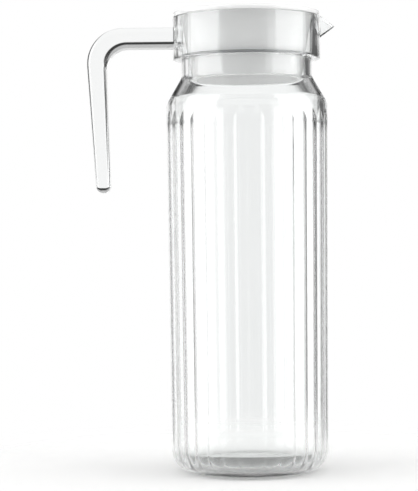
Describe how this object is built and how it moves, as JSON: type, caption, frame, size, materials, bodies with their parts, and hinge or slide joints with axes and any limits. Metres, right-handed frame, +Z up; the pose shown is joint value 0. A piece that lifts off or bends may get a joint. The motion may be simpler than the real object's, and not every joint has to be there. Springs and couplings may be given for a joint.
{
  "type": "acrylic jug with lid",
  "caption": "Clear acrylic jug with a fluted round body, a conical shoulder, a beaked pouring collar, a hook handle and a white lid that lifts off and turns.",
  "frame": {"origin": "centre of the flat base, on the surface that the jug stands on", "axes": "+Z up along the jug's axis, +X towards the pouring beak, -X towards the handle"},
  "size_m": [0.1379, 0.09, 0.2553],
  "materials": {
    "clear_acrylic": "clear polished acrylic, colourless, glossy",
    "white_plastic": "white moulded plastic, smooth and glossy outside, slightly satin inside",
    "silicone": "grey silicone, satin"
  },
  "bodies": {
    "jug": {"fluted_body": "clear_acrylic", "shoulder_neck": "clear_acrylic", "pour_collar": "clear_acrylic", "handle": "clear_acrylic"},
    "seal": {"lid_seal": "silicone"},
    "lid": {"lid": "white_plastic"}
  },
  "joints": [
    {"name": "lid_lift", "type": "slide", "parent": "jug", "child": "seal", "axis": [0, 0, 1], "range_m": [0, 0.06]},
    {"name": "lid_turn", "type": "hinge", "parent": "seal", "child": "lid", "pos_m": [0, 0, 0.2528], "axis": [0, 0, 1], "continuous": true}
  ]
}
